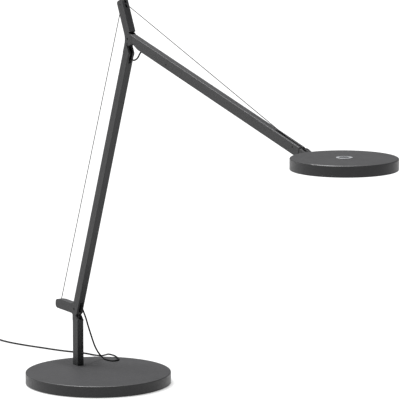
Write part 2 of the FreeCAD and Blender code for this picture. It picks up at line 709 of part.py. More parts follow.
def back_wire_ends():
    start = wire_anchor_place()
    end = tangent_point(mast_roller_place(), wire_radius(MAST_ROLLER_DIAMETER), start, -1)
    return start, end


def wire_slope_back():
    start, end = back_wire_ends()
    return math.degrees(math.atan2(end.z - start.z, end.x - start.x))


def front_wire_ends():
    """Common tangent over the tops of the two rollers."""
    first, second = mast_roller_place(), arm_roller_place()
    r1, r2 = wire_radius(MAST_ROLLER_DIAMETER), wire_radius(ARM_ROLLER_DIAMETER)
    line = second - first
    slope = math.atan2(line.z, line.x) - math.asin((r2 - r1) / line.Length)
    up = V(-math.sin(slope), 0, math.cos(slope))
    return first + up * r1, second + up * r2


def straight_wire(start, end, diameter):
    return Part.makeCylinder(diameter / 2, (end - start).Length, start, end - start)


def wrap(centre, start, end):
    """Middle line of a wire round a roller, the short way or over the top."""
    middle = (start + end) * 0.5 - centre
    return Part.Arc(start, centre + middle.normalize() * (start - centre).Length, end).toShape()


def back_wire():
    start, end = back_wire_ends()
    heading = (end - start).normalize()
    return straight_wire(start + heading * (ANCHOR_DIAMETER / 2), end, WIRE_DIAMETER)


def wire_anchor():
    return rod(ANCHOR_DIAMETER, TUBE_WIDTH - 3.4, wire_anchor_place())


def front_wire():
    """From the back of the mast roller over its top, and along to the arm roller."""
    entry = back_wire_ends()[1]
    start, end = front_wire_ends()
    path = Part.Wire([wrap(mast_roller_place(), entry, start), Part.LineSegment(start, end).toShape()])
    return swept(path, WIRE_DIAMETER, "front_wire")


# ------------------------------------------------------------ upper arm

def nose_cut():
    """Round end of the upper tube, with its underside sloped to clear the elbow."""
    low = UPPER_RISE - TUBE_DEPTH / 2
    knee_x = math.sqrt(TUBE_START ** 2 - UPPER_NOSE_LOW ** 2)
    slope = plate([(-1, -UPPER_NOSE_LOW), (knee_x, -UPPER_NOSE_LOW), (UPPER_NOSE_TAPER, low - 0.01),
                   (UPPER_NOSE_TAPER, low - 2), (-1, low - 2)], TUBE_WIDTH + 2)
    return round_end().fuse(slope)


def upper_arm_tube():
    body = tube(0, UPPER_TUBE_END, UPPER_RISE).cut(nose_cut())
    top = UPPER_RISE + TUBE_DEPTH / 2
    body = body.cut(block(ARM_ROLLER_ALONG - WIRE_SLOT_BACK, UPPER_TUBE_END + 1, WIRE_SLOT_WIDTH, top - TUBE_WALL - 1, top + 1))
    low = UPPER_RISE - TUBE_DEPTH / 2
    body = body.cut(block(UPPER_NOSE_TAPER - 5, UPPER_NOSE_TAPER + UPPER_SLOT_LENGTH, CABLE_SLOT_WIDTH,
                          low - 1, low + TUBE_WALL + 0.5))
    for place in (V(ARM_ROLLER_ALONG, 0, ARM_ROLLER_UP), V(SPRING_START - SPRING_CAP_LENGTH / 2, 0, SPRING_AXIS)):
        body = body.cut(rod(ROLLER_PIN, TUBE_WIDTH + 4, place))
    return placed(one_solid(body), ELBOW, -UPPER_ARM_DROOP)


def upper_tongue():
    """Tongue of the elbow hinge: a plug in the tube with a web down to the pin."""
    start = UPPER_NOSE_TAPER
    top = UPPER_RISE + TUBE_DEPTH / 2 - TUBE_WALL - PLUG_FIT
    web_low = LEAD_LOW + LEAD_DIAMETER / 2 + LEAD_GAP
    web = plate([(0, TONGUE_RADIUS), (TUBE_START, top), (start + 1, top), (start + 1, web_low),
                 (TUBE_START + 3, web_low), (TONGUE_RADIUS, -TONGUE_RADIUS / 2), (0, -TONGUE_RADIUS)], TONGUE_WIDTH)
    plug = bore(start + 0.3, start + UPPER_PLUG, UPPER_RISE, PLUG_FIT)
    duct = block(start - 2, start + UPPER_PLUG + 1, LEAD_DIAMETER + 2 * LEAD_GAP,
                 UPPER_RISE - TUBE_DEPTH / 2, web_low)
    body = rod(2 * TONGUE_RADIUS, TONGUE_WIDTH, V(0, 0, 0)).fuse(web).fuse(plug).cut(duct)
    body = body.cut(rod(PIN_DIAMETER + 2 * PIN_CLEARANCE, TUBE_WIDTH, V(0, 0, 0)))
    return placed(one_solid(body), ELBOW, -UPPER_ARM_DROOP)


SPRING_AXIS = ARM_ROLLER_UP - wire_radius(ARM_ROLLER_DIAMETER)


def spring_curve(turn):
    angle = 2 * math.pi * turn
    radius = SPRING_MEAN_DIAMETER / 2
    x = SPRING_START + SPRING_WIRE + (SPRING_LENGTH - 2 * SPRING_WIRE) * turn / SPRING_CURLS
    return V(x, radius * math.cos(angle), SPRING_AXIS + radius * math.sin(angle))


def balance_spring():
    wire = wound_wire(stations_on(spring_curve, SPRING_CURLS, 2), 0.3, 0.3)
    least_self_gap(spring_curve, SPRING_CURLS, SPRING_WIRE, "balance_spring")
    return placed(swept(wire, SPRING_WIRE, "balance_spring"), ELBOW, -UPPER_ARM_DROOP)


def spring_caps():
    """The two screwed-in ends of the spring: fixed at the elbow side, pulled at the other."""
    fixed_x = SPRING_START - SPRING_CAP_LENGTH
    axis = V(1, 0, 0)
    fixed = Part.makeCylinder(SPRING_CAP_DIAMETER / 2, SPRING_CAP_LENGTH, V(fixed_x, 0, SPRING_AXIS), axis)
    fixed = fixed.cut(rod(ROLLER_PIN, TUBE_WIDTH, V(fixed_x + SPRING_CAP_LENGTH / 2, 0, SPRING_AXIS)))
    pulled = Part.makeCylinder(SPRING_CAP_DIAMETER / 2, SPRING_CAP_LENGTH,
                               V(SPRING_START + SPRING_LENGTH, 0, SPRING_AXIS), axis)
    return placed(Part.makeCompound([fixed, pulled]), ELBOW, -UPPER_ARM_DROOP)


def spring_pin():
    place = along_upper(SPRING_START - SPRING_CAP_LENGTH / 2, SPRING_AXIS)
    return rod(ROLLER_PIN, TUBE_WIDTH - 2 * PIN_RECESS, place)


def spring_wire_link():
    """Hidden end of the tension wire: round the arm roller and back to the spring."""
    centre = arm_roller_place()
    top = front_wire_ends()[1]
    below = along_upper(ARM_ROLLER_ALONG, SPRING_AXIS)
    start = along_upper(SPRING_START + SPRING_LENGTH + SPRING_CAP_LENGTH, SPRING_AXIS)
    far = centre + direction(-UPPER_ARM_DROOP) * (below - centre).Length
    path = Part.Wire([Part.LineSegment(start, below).toShape(), Part.Arc(below, far, top).toShape()])
    return swept(path, WIRE_DIAMETER, "spring_wire_link")


def head_fork():
    """Plug in the end of the upper tube with two ears for the head."""
    start = UPPER_TUBE_END - FORK_PLUG
    plug = bore(start, UPPER_TUBE_END + 0.3, UPPER_RISE, PLUG_FIT)
    ears = block(UPPER_TUBE_END, UPPER_ARM_REACH, TUBE_WIDTH - 1.0, UPPER_RISE - NECK_RADIUS,
                 UPPER_RISE + NECK_RADIUS)
    eye = rod(2 * NECK_RADIUS, TUBE_WIDTH - 1.0, V(UPPER_ARM_REACH, 0, UPPER_RISE))
    slot = block(UPPER_ARM_REACH - NECK_RADIUS - JOINT_GAP, UPPER_ARM_REACH + 20, SLOT_WIDTH,
                 UPPER_RISE - 20, UPPER_RISE + 20)
    top = UPPER_RISE + TUBE_DEPTH / 2
    duct = block(start - 1, UPPER_ARM_REACH, LEAD_DIAMETER + 0.6, top - TUBE_WALL - 4.6, top)
    hole = rod(PIN_DIAMETER, TUBE_WIDTH + 4, V(UPPER_ARM_REACH, 0, UPPER_RISE))
    body = plug.fuse(ears).fuse(eye).cut(slot).cut(duct).cut(hole)
    return placed(one_solid(body), ELBOW, -UPPER_ARM_DROOP)


def head_pin():
    return rod(PIN_DIAMETER, TUBE_WIDTH - 1.0 - 2 * PIN_RECESS, HEAD_PIVOT)


# ----------------------------------------------------------------- head

HEAD_TOP = HEAD_PIVOT.z + HEAD_HEIGHT / 2
HEAD_BOTTOM = HEAD_TOP - HEAD_HEIGHT
HEAD_X = HEAD_MIDDLE.x
HEAD_REAR = HEAD_X - HEAD_DIAMETER / 2
SHELL_UNDER = HEAD_TOP - HEAD_WALL
SPREADER_TOP = HEAD_PIVOT.z + 0.4
SPREADER_RADIUS = HEAD_DIAMETER / 2 - HEAD_WALL - 0.3
NECK_THROUGH = 7.0           # height of the neck where it passes the wall


def head_disc(diameter, z0, z1):
    return Part.makeCylinder(diameter / 2, z1 - z0, V(HEAD_X, 0, z0))


def head_shell():
    outer = rounded_disc(HEAD_DIAMETER, HEAD_BOTTOM + BEZEL_HEIGHT, HEAD_TOP, HEAD_X, COVER_EDGE)
    shell = outer.cut(head_disc(HEAD_DIAMETER - 2 * HEAD_WALL, HEAD_BOTTOM, SHELL_UNDER))
    door = block(HEAD_REAR - 5, HEAD_REAR + 8, NECK_DEPTH + 2 * NECK_SLOT_GAP,
                 HEAD_PIVOT.z - NECK_THROUGH / 2 - NECK_SLOT_GAP, HEAD_PIVOT.z + NECK_THROUGH / 2 + NECK_SLOT_GAP)
    cable = rod(LEAD_DIAMETER + 0.4, 12, V(HEAD_REAR, 0, LEAD_ENTRY_Z), V(1, 0, 0))
    seat = head_disc(TOUCH_OUTER, HEAD_TOP - TOUCH_SEAT, HEAD_TOP + 1)
    stem_hole = head_disc(TOUCH_STEM, SHELL_UNDER - 1, HEAD_TOP)
    return one_solid(shell.cut(door).cut(cable).cut(seat).cut(stem_hole))


LEAD_ENTRY_Z = HEAD_PIVOT.z + NECK_THROUGH / 2 + 2.2


def head_neck():
    """Tongue of the head hinge, with its foot screwed under the shell's top."""
    inside = HEAD_REAR + HEAD_WALL + 0.2
    eye = rod(2 * NECK_RADIUS, TONGUE_WIDTH, HEAD_PIVOT)
    half = NECK_THROUGH / 2
    link = block(HEAD_PIVOT.x, HEAD_PIVOT.x + 9.0, TONGUE_WIDTH, HEAD_PIVOT.z - half, HEAD_PIVOT.z + half)
    bar = block(HEAD_PIVOT.x + 8.0, inside + NECK_FOOT, NECK_DEPTH, HEAD_PIVOT.z - half, HEAD_PIVOT.z + half)
    clear = rod(2 * (NECK_RADIUS + JOINT_GAP), TUBE_WIDTH + 2, HEAD_PIVOT).cut(
        rod(2 * (NECK_RADIUS + JOINT_GAP) + 1, TONGUE_WIDTH, HEAD_PIVOT))
    foot = block(inside + 4.5, inside + NECK_FOOT, NECK_DEPTH + 8, SPREADER_TOP + 0.3, SHELL_UNDER)
    cut = rod(PIN_DIAMETER + 2 * PIN_CLEARANCE, TUBE_WIDTH, HEAD_PIVOT)
    low = block(HEAD_REAR + HEAD_WALL, inside + NECK_FOOT + 1, NECK_DEPTH + 20, HEAD_BOTTOM, SPREADER_TOP + 0.3)
    groove = LEAD_ENTRY_Z - HEAD_LEAD_DIAMETER / 2 - 0.3
    channel = block(inside, inside + NECK_FOOT + 1, HEAD_LEAD_DIAMETER + 0.6, groove, SHELL_UNDER + 1)
    body = eye.fuse(link).fuse(bar.cut(clear)).fuse(foot).cut(cut).cut(low).cut(channel)
    for side in (-1, 1):
        body = body.cut(Part.makeCylinder(1.2, 5, V(inside + 9.0, side * 6.2, SPREADER_TOP)))
    return one_solid(body)


def neck_screws():
    inside = HEAD_REAR + HEAD_WALL + 0.2
    screws = []
    for side in (-1, 1):
        screws.append(Part.makeCylinder(1.19, 4.4, V(inside + 9.0, side * 6.2, SPREADER_TOP + 0.35)))
    return Part.makeCompound(screws)


def heat_spreader():
    z0 = SPREADER_TOP - SPREADER_THICKNESS
    disc = head_disc(2 * SPREADER_RADIUS, z0, SPREADER_TOP)
    notch = block(HEAD_REAR, HEAD_REAR + HEAD_WALL + 1.2, NECK_DEPTH + 4, z0 - 1, SPREADER_TOP + 1)
    return one_solid(disc.cut(notch))


def led_board():
    z1 = SPREADER_TOP - SPREADER_THICKNESS
    outer = CHIP_CIRCLE + 20
    inner = CHIP_CIRCLE - 20
    return head_disc(outer, z1 - BOARD_THICKNESS, z1).cut(head_disc(inner, z1 - BOARD_THICKNESS - 1, z1 + 1))


def led_chips():
    top = SPREADER_TOP - SPREADER_THICKNESS - BOARD_THICKNESS
    chips = []
    for i in range(CHIP_COUNT):
        chip = Part.makeBox(CHIP_SIZE, CHIP_SIZE, CHIP_HEIGHT,
                            V(CHIP_CIRCLE / 2 - CHIP_SIZE / 2, -CHIP_SIZE / 2, top - CHIP_HEIGHT))
        chip.rotate(V(0, 0, 0), V(0, 0, 1), 360.0 * i / CHIP_COUNT)
        chip.translate(V(HEAD_X, 0, 0))
        chips.append(chip)
    return Part.makeCompound(chips)


def diffuser():
    radius = HEAD_DIAMETER - 2 * (BEZEL_WIDTH - 1.0)
    return head_disc(radius, HEAD_BOTTOM + 0.8, HEAD_BOTTOM + 0.8 + DIFFUSER_THICKNESS)


def bezel_ring():
    """Ring that closes the rim and carries the edge of the diffuser."""
    outer = head_disc(HEAD_DIAMETER, HEAD_BOTTOM, HEAD_BOTTOM + BEZEL_HEIGHT)
    rims = [e for e in outer.Edges if e.BoundBox.ZMax < HEAD_BOTTOM + 1e-6]
    outer = outer.makeFillet(0.8, rims)
    ring = outer.cut(head_disc(HEAD_DIAMETER - 2 * BEZEL_WIDTH, HEAD_BOTTOM - 1, HEAD_TOP))
    seat = head_disc(HEAD_DIAMETER - 2 * (BEZEL_WIDTH - 1.0) + 0.2, HEAD_BOTTOM + 0.8, HEAD_TOP)
    lip = head_disc(HEAD_DIAMETER - 2 * HEAD_WALL - 0.1, HEAD_BOTTOM + BEZEL_HEIGHT - 0.1,
                    SPREADER_TOP - SPREADER_THICKNESS)
    lip = lip.cut(head_disc(HEAD_DIAMETER - 2 * HEAD_WALL - 2.4, HEAD_BOTTOM, HEAD_TOP))
    return one_solid(ring.cut(seat).fuse(lip))


def touch_ring():
    ring = rounded_disc(TOUCH_OUTER - 2 * SEAT_FIT, HEAD_TOP - TOUCH_SEAT, HEAD_TOP + TOUCH_RISE, HEAD_X, 0.4)
    return one_solid(ring.cut(head_disc(TOUCH_INNER, HEAD_TOP - 5, HEAD_TOP + 5)))


def touch_cap():
    """Insulating disc inside the ring, with its stem through the shell."""
    cap = head_disc(TOUCH_INNER - 2 * SEAT_FIT, HEAD_TOP - TOUCH_SEAT, HEAD_TOP + 0.2)
    stem = head_disc(TOUCH_STEM - 2 * SEAT_FIT, HEAD_TOP - HEAD_WALL - 1.5, HEAD_TOP - TOUCH_SEAT)
    return one_solid(cap.fuse(stem))


def driver_board():
    z1 = HEAD_TOP - HEAD_WALL - 1.5
    board = head_disc(DRIVER_DIAMETER, z1 - BOARD_THICKNESS, z1)
    posts = []
    for i in range(3):
        angle = math.radians(120 * i + 30)
        x = HEAD_X + (DRIVER_DIAMETER / 2 - 4) * math.cos(angle)
        y = (DRIVER_DIAMETER / 2 - 4) * math.sin(angle)
        posts.append(Part.makeCylinder(2.0, z1 - BOARD_THICKNESS - SPREADER_TOP, V(x, y, SPREADER_TOP)))
    for post in posts:
        board = board.fuse(post)
    return one_solid(board)


# --------------------------------------------------------------- cables

def cable(points, diameter, name):
    return swept(route_wire([V(*p) for p in points], name), diameter, name)


LEAD_LOW = UPPER_RISE - TUBE_DEPTH / 2 + TUBE_WALL + LEAD_DIAMETER / 2 + LEAD_GAP
LEAD_FRONT = -SETBACK - TUBE_DEPTH / 2 + TUBE_WALL + LEAD_DIAMETER / 2 + LEAD_GAP
LEAD_LEAVES = LOWER_ARM_LENGTH - 45.0
LEAD_ENTERS = UPPER_NOSE_TAPER + UPPER_PLUG + 8.0


def lower_lead():
    """Lead inside the lower tube, from the supply cord to the elbow."""
    return straight_wire(V(*CORD_NECK[0]), along_lower(LEAD_LEAVES, LEAD_FRONT), LEAD_DIAMETER)


def upper_lead():
    line = UPPER_RISE - TUBE_DEPTH / 2 + TUBE_WALL + HEAD_LEAD_DIAMETER / 2 + 0.1
    return straight_wire(along_upper(LEAD_ENTERS, line), along_upper(ARM_ROLLER_ALONG - 8, line), HEAD_LEAD_DIAMETER)


def elbow_loop():
    """Free loop of the lead from the lower arm's slot into the upper arm."""
    points = [along_lower(LEAD_LEAVES, LEAD_FRONT), along_lower(LOWER_ARM_LENGTH - 34.5, LEAD_FRONT),
              along_lower(LOWER_ARM_LENGTH - 29.0, LEAD_FRONT - 8.0), along_upper(18.0, -30.5),
              along_upper(28.0, -23.5), along_upper(33.0, -11.0), along_upper(41.0, LEAD_LOW),
              along_upper(LEAD_ENTERS, LEAD_LOW)]
    return cable(points, LEAD_DIAMETER, "elbow_loop")


def head_loop():
    """Free arch of the lead from the end of the upper arm into the head."""
    exit_line = UPPER_RISE + TUBE_DEPTH / 2 - TUBE_WALL - 2.2
    points = [along_upper(UPPER_TUBE_END - 9, exit_line), along_upper(UPPER_TUBE_END, exit_line + 0.1),
              along_upper(UPPER_TUBE_END + 6, exit_line + 4.0), along_upper(UPPER_TUBE_END + 15, exit_line + 6.6),
              V(HEAD_REAR - 6.0, 0, LEAD_ENTRY_Z + 2.6), V(HEAD_REAR + 1.0, 0, LEAD_ENTRY_Z),
              V(HEAD_REAR + 8.0, 0, LEAD_ENTRY_Z - 0.05)]
    return cable(points, HEAD_LEAD_DIAMETER, "head_loop")


def head_lead():
    """Lead inside the head, from its rim to the driver board."""
    start = V(HEAD_REAR + 8.0, 0, LEAD_ENTRY_Z - 0.05)
    end = V(HEAD_X - DRIVER_DIAMETER / 2 - 0.3, 0, LEAD_ENTRY_Z - 0.05)
    return straight_wire(start, end, HEAD_LEAD_DIAMETER)


LOOP_STEP = CORD_DIAMETER + LOOP_SPACE
LOOPS_PER_LAYER = CORD_LOOPS / CORD_LAYERS
COIL_OUTER_RADIUS = COIL_INNER_RADIUS + LOOP_STEP * LOOPS_PER_LAYER


def coil_curve(turn):
    """Spiral in over the first layer, up in half a turn, and out again on top."""
    back = LOOPS_PER_LAYER
    climb = min(max((turn - back + 0.25) / 0.5, 0.0), 1.0)
    climb = climb * climb * (3 - 2 * climb)
    radius = COIL_INNER_RADIUS + LOOP_STEP * math.sqrt((turn - back) ** 2 + 0.02)
    angle = math.pi / 2 + 2 * math.pi * turn
    z = CORD_DIAMETER / 2 + COIL_LIFT + LOOP_STEP * climb
    return V(COIL_CENTRE[0] + radius * math.cos(angle), COIL_CENTRE[1] + radius * math.sin(angle), z)


def coil_stations():
    return stations_on(coil_curve, CORD_LOOPS, 4)


def cord_coil():
    wire = wound_wire(coil_stations(), CORD_DIAMETER, CORD_DIAMETER)
    least_self_gap(coil_curve, CORD_LOOPS, CORD_DIAMETER, "cord_coil")
    return swept(wire, CORD_DIAMETER, "cord_coil")


def power_cord_run():
    """Supply cord over the base and along the desk, up to the coil."""
    point, heading = coil_stations()[0]
    meets = point - heading * CORD_DIAMETER
    return cable(CORD_RUN + [meets - heading * 14.0, meets], CORD_DIAMETER, "power_cord_run")


def power_cord_tail():
    """Supply cord from the coil to the boot of the adaptor."""
    point, heading = coil_stations()[-1]
    meets = point + heading * CORD_DIAMETER
    boot = V(ADAPTOR_CENTRE[0] - ADAPTOR[0] / 2 - BOOT_LENGTH, ADAPTOR_CENTRE[1], BOOT_HEIGHT)
    points = [meets, meets + heading * 12.0] + CORD_TAIL + [boot]
    return cable(points, CORD_DIAMETER, "power_cord_tail")


def coil_tie():
    """Flat strap closed round the loops on one side of the coil."""
    inner = COIL_INNER_RADIUS - CORD_DIAMETER / 2 - TIE_GAP
    outer = COIL_OUTER_RADIUS + CORD_DIAMETER / 2 + TIE_GAP
    low = COIL_LIFT - TIE_GAP
    high = COIL_LIFT + LOOP_STEP * (CORD_LAYERS - 1) + CORD_DIAMETER + TIE_GAP
    wall = TIE_THICKNESS
    strap = block(inner - wall, outer + wall, TIE_WIDTH, low - wall, high + wall)
    strap = strap.makeFillet(0.7, edges_along(strap, V(0, 1, 0), 1))
    strap = strap.cut(block(inner, outer, TIE_WIDTH + 2, low, high))
    strap.translate(V(COIL_CENTRE[0], COIL_CENTRE[1], 0))
    return strap


def power_adaptor():
    length, width, height = ADAPTOR
    x, y = ADAPTOR_CENTRE
    case = block(x - length / 2, x + length / 2, width, 0, height, y)
    return case.makeFillet(ADAPTOR_EDGE, case.Edges)


def adaptor_boot():
    """Flexible sleeve round the cord where it enters the adaptor."""
    face = ADAPTOR_CENTRE[0] - ADAPTOR[0] / 2
    small, large = BOOT_DIAMETERS
    start = V(face - BOOT_LENGTH, ADAPTOR_CENTRE[1], BOOT_HEIGHT)
    return Part.makeCone(small / 2, large / 2, BOOT_LENGTH, start, V(1, 0, 0))


def adaptor_prongs():
    length, thick, high = PRONG
    face = ADAPTOR_CENTRE[0] + ADAPTOR[0] / 2
    middle = ADAPTOR[2] / 2
    prongs = []
    for side in (-1, 1):
        y = ADAPTOR_CENTRE[1] + side * PRONG_SPACING / 2
        prong = block(face, face + length, thick, middle - high / 2, middle + high / 2, y)
        prongs.append(prong.makeChamfer(0.5, [e for e in prong.Edges if e.BoundBox.XMin > face + length - 0.1]))
    return Part.makeCompound(prongs)


NODES = {
    "base_cover": base_cover,
    "base_weight": base_weight,
    "base_pad": base_pad,
    "base_screws": base_screws,
    "swivel_bush": swivel_bush,
    "swivel_spindle": swivel_spindle,
    "swivel_nut": swivel_nut,
    "swivel_washer": swivel_washer,
    "stem_tube": stem_tube,
    "stem_head": stem_head,
    "stem_screw": stem_screw,
    "lower_pivot_pin": lambda: hinge_pin(LOWER_PIVOT),
    "lower_friction_discs": lambda: hinge_discs(LOWER_PIVOT),
    "lower_arm_tube": lower_arm_tube,
    "lower_tongue": lower_tongue,
    "lower_lead": lower_lead,
    "elbow_head": elbow_head,
    "elbow_pin": lambda: hinge_pin(ELBOW),
    "elbow_friction_discs": lambda: hinge_discs(ELBOW),
    "mast_roller": lambda: roller(mast_roller_place(), MAST_ROLLER_DIAMETER),
    "mast_roller_pin": lambda: roller_pin(mast_roller_place()),
    "wire_anchor": wire_anchor,
    "back_wire": back_wire,
    "front_wire": front_wire,
    "upper_arm_tube": upper_arm_tube,
    "upper_tongue": upper_tongue,
    "upper_lead": upper_lead,
    "elbow_loop": elbow_loop,
    "arm_roller": lambda: roller(arm_roller_place(), ARM_ROLLER_DIAMETER),
    "arm_roller_pin": lambda: roller_pin(arm_roller_place()),
    "balance_spring": balance_spring,
    "spring_caps": spring_caps,
    "spring_pin": spring_pin,
    "spring_wire_link": spring_wire_link,
    "head_fork": head_fork,
    "head_pin": head_pin,
    "head_friction_discs": lambda: hinge_discs(HEAD_PIVOT),
    "head_loop": head_loop,
    "head_neck": head_neck,
    "neck_screws": neck_screws,
    "head_shell": head_shell,
    "heat_spreader": heat_spreader,
    "led_board": led_board,
    "led_chips": led_chips,
    "diffuser": diffuser,
    "bezel_ring": bezel_ring,
    "touch_ring": touch_ring,
    "touch_cap": touch_cap,
    "driver_board": driver_board,
    "head_lead": head_lead,
    "power_cord_neck": lambda: cable(CORD_NECK, CORD_DIAMETER, "power_cord_neck"),
    "power_cord_drop": lambda: cable(CORD_DROP, CORD_DIAMETER, "power_cord_drop"),
    "power_cord_run": power_cord_run,
    "cord_coil": cord_coil,
    "coil_tie": coil_tie,
    "power_cord_tail": power_cord_tail,
    "adaptor_boot": adaptor_boot,
    "power_adaptor": power_adaptor,
    "adaptor_prongs": adaptor_prongs,
}

os.makedirs("parts", exist_ok=True)
for name, make in NODES.items():
    shape = make()
    if not shape.isValid():
        print("NOT VALID", name)
    print("%-22s solids %d volume %10.1f" % (name, len(shape.Solids), shape.Volume))
    shape.exportStep("parts/%s.step" % name)
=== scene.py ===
import json
from math import acos, asin, atan2, cos, pi, radians, sin, sqrt

import bmesh
import bpy
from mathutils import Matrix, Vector


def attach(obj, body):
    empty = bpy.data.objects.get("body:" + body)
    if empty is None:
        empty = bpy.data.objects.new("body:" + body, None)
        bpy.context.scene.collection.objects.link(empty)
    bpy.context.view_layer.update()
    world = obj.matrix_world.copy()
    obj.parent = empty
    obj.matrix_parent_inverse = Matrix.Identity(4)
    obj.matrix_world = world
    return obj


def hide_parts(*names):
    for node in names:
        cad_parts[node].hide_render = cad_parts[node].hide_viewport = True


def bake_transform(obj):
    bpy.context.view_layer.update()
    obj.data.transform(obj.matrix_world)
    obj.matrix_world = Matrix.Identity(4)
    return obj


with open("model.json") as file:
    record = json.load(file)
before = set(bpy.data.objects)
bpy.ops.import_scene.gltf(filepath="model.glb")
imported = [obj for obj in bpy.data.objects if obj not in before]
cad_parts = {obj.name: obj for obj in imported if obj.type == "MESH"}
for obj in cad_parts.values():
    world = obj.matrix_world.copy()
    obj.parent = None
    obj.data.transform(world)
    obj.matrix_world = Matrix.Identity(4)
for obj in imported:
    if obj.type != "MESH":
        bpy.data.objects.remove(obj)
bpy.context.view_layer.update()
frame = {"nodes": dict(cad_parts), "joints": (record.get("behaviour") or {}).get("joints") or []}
MM = 0.001
joints = {joint["name"]: joint for joint in frame["joints"]}
scene = bpy.context.scene


def place(name):
    """Point on a joint's axis, in metres."""
    return Vector(joints[name]["pos_m"])


def mm(x, y, z):
    """A point in metres, from millimetres."""
    return Vector((x, y, z)) * MM


LOWER_PIVOT = place("lower_arm_pitch")
ELBOW = place("elbow_pitch")
HEAD_PIVOT = place("head_tilt")
MAST_ROLLER = place("mast_roller_spin")
ARM_ROLLER = place("arm_roller_spin")
ANCHOR = place("back_wire_swing")

LOWER_SLOPE = 70.1           # degrees above +X
UPPER_SLOPE = -15.2
LEAD_RADIUS = 1.3 * MM       # lead inside the arms and round the elbow
HEAD_LEAD_RADIUS = 1.0 * MM  # thinner lead over the head's hinge
CORD_RADIUS = 1.4 * MM
WIRE_RADIUS = 0.6 * MM
MAST_GROOVE = 4.36 * MM      # middle of the wire from the middle of the mast roller
ARM_GROOVE = 3.76 * MM       # the same at the arm roller


def along(origin, slope, s, n):
    """Point s mm along an arm and n mm above its pivot line."""
    angle = radians(slope)
    return origin + Vector((cos(angle) * s - sin(angle) * n, 0, sin(angle) * s + cos(angle) * n)) * MM


# ------------------------------------------------------------- materials
# Patterns read Object coordinates and their sizes are in millimetres. A grain that is finer than the
# render can show is drawn as coarse as it needs to be.

SOFT_EDGE_SAMPLES = 4
NOISE_LOW, NOISE_HIGH = 0.3, 0.7     # nearly all of a noise lies between these
MIX_DARK, MIX_LIGHT, MIX_RESULT = 6, 7, 2      # a Mix node's colour sockets share their names with others


def srgb(code):
    """Linear colour of a hex code."""
    parts = [int(code[i:i + 2], 16) / 255 for i in (1, 3, 5)]
    linear = [c / 12.92 if c <= 0.04045 else ((c + 0.055) / 1.055) ** 2.4 for c in parts]
    return (*linear, 1.0)


def add(tree, kind, inputs, **settings):
    """Add a node with its settings, and give each input its value or its link."""
    made = tree.nodes.new(kind)
    for key, value in settings.items():
        setattr(made, key, value)
    for key, value in inputs.items():
        if isinstance(value, bpy.types.NodeSocket):
            tree.links.new(value, made.inputs[key])
        else:
            made.inputs[key].default_value = value
    return made


def plain(name, colour, roughness, metallic=0.0, specular=0.5):
    """A new material with its shader's own values set; gives its tree and the shader's inputs too."""
    material = bpy.data.materials.new(name)
    material.use_nodes = True
    shader = material.node_tree.nodes["Principled BSDF"].inputs
    shader["Base Color"].default_value = srgb(colour)
    shader["Roughness"].default_value = roughness
    shader["Metallic"].default_value = metallic
    shader["Specular IOR Level"].default_value = specular
    return material, material.node_tree, shader


def finish(name, dark, light, roughness, clouds=None, gloss=None, grain=(), soft_edge=None, stretch=None,
           metallic=0.0, specular=0.5):
    """A worked surface. clouds is the (size, detail) of the change from dark to light, gloss the
    (size, detail, less, more) of the change in roughness, and each grain a (size, detail, depth,
    strength) of relief. stretch draws gloss and grain out along one way."""
    material, tree, shader = plain(name, light, roughness, metallic, specular)
    here = add(tree, "ShaderNodeTexCoord", {}).outputs["Object"]
    drawn_out = here
    if stretch:
        drawn_out = add(tree, "ShaderNodeMapping", {"Vector": here, "Scale": stretch}).outputs["Vector"]
    if clouds:
        size, detail = clouds
        cloud = add(tree, "ShaderNodeTexNoise", {"Vector": here, "Scale": 1 / (size * MM), "Detail": detail})
        tint = add(tree, "ShaderNodeMix", {"Factor": cloud.outputs["Fac"]}, data_type="RGBA")
        tint.inputs[MIX_DARK].default_value = srgb(dark)
        tint.inputs[MIX_LIGHT].default_value = srgb(light)
        tree.links.new(tint.outputs[MIX_RESULT], shader["Base Color"])
    if gloss:
        size, detail, less, more = gloss
        patches = add(tree, "ShaderNodeTexNoise",
                      {"Vector": drawn_out, "Scale": 1 / (size * MM), "Detail": detail})
        spread = add(tree, "ShaderNodeMapRange",
                     {"Value": patches.outputs["Fac"], "From Min": NOISE_LOW, "From Max": NOISE_HIGH,
                      "To Min": roughness - less, "To Max": roughness + more})
        tree.links.new(spread.outputs["Result"], shader["Roughness"])
    normal = None
    if soft_edge:
        edge = add(tree, "ShaderNodeBevel", {"Radius": soft_edge * MM}, samples=SOFT_EDGE_SAMPLES)
        normal = edge.outputs["Normal"]
    for size, detail, depth, strength in grain:
        relief = add(tree, "ShaderNodeTexNoise",
                     {"Vector": drawn_out, "Scale": 1 / (size * MM), "Detail": detail})
        bump = add(tree, "ShaderNodeBump",
                   {"Height": relief.outputs["Fac"], "Strength": strength, "Distance": depth * MM})
        if normal:
            tree.links.new(normal, bump.inputs["Normal"])
        normal = bump.outputs["Normal"]
    if normal:
        tree.links.new(normal, shader["Normal"])
    return material


def powder_coat(name, dark, light, roughness):
    """Sprayed and baked powder: a fine orange peel under a finer grain, faint clouds in colour and gloss."""
    return finish(name, dark, light, roughness, clouds=(40, 3), gloss=(6, 4, 0.04, 0.05),
                  grain=[(0.7, 3, 0.02, 0.6), (0.16, 1, 0.006, 0.5)], soft_edge=0.3, specular=0.3)


def soft_rubber(name, dark, light, roughness):
    """Soft extruded or foamed rubber: dull, with a skin that is a little uneven."""
    return finish(name, dark, light, roughness, clouds=(3, 3), gloss=(1.2, 3, 0.06, 0.08),
                  grain=[(0.25, 2, 0.01, 0.5)], specular=0.2)


def moulded_plastic(name, dark, light, roughness, grain_mm):
    """Plastic moulded in a spark-eroded tool: an even, fine, dull grain with soft edges."""
    return finish(name, dark, light, roughness, clouds=(15, 2), gloss=(2.5, 3, 0.04, 0.05),
                  grain=[(grain_mm, 3, 0.012, 0.6)], soft_edge=0.25)


